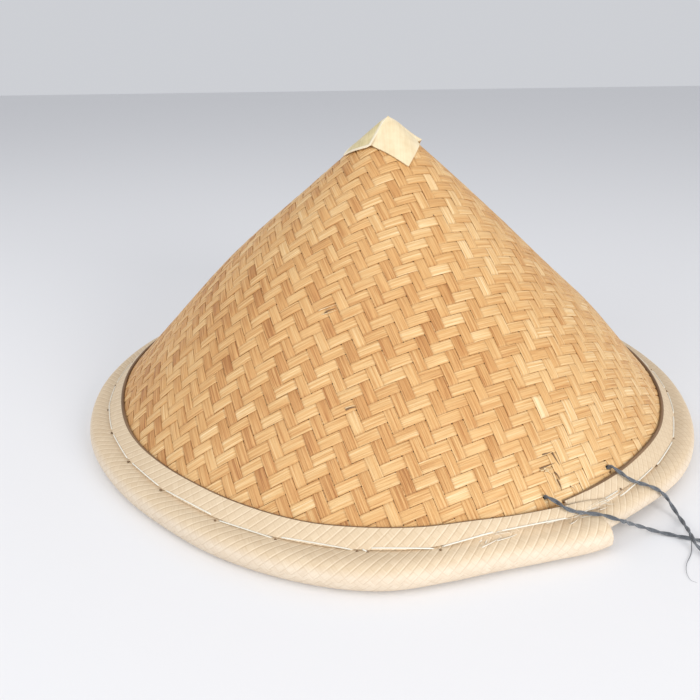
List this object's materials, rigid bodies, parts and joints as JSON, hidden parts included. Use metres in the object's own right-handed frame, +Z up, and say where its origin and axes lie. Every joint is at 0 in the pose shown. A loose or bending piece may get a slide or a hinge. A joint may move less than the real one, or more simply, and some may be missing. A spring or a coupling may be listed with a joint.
{
  "type": "conical bamboo hat",
  "caption": "Wide conical hat of twill-woven bamboo splints with a folded sheath cap on its point, a padded plaited-mat brim and a dark tie cord loop.",
  "frame": {"origin": "on the surface that the hat rests on, under the middle of the brim", "axes": "+Z up through the point of the cone, -Y towards the picture's camera, +X to the right in the picture"},
  "size_m": [0.4405, 0.4408, 0.2095],
  "materials": {
    "bamboo_splints": "golden split bamboo, satin, fine grain along each splint",
    "cap_sheath": "pale smooth sheath, slight sheen, faint veins",
    "plaited_mat": "cream plaited mat, matt, fine diagonal strips",
    "twisted_cord": "dark two-ply twisted cord, matt"
  },
  "bodies": {
    "root": {"crown": "bamboo_splints", "apex_cap": "cap_sheath", "brim_band": "plaited_mat", "brim_roll": "plaited_mat", "tie_cord": "twisted_cord"}
  },
  "joints": []
}
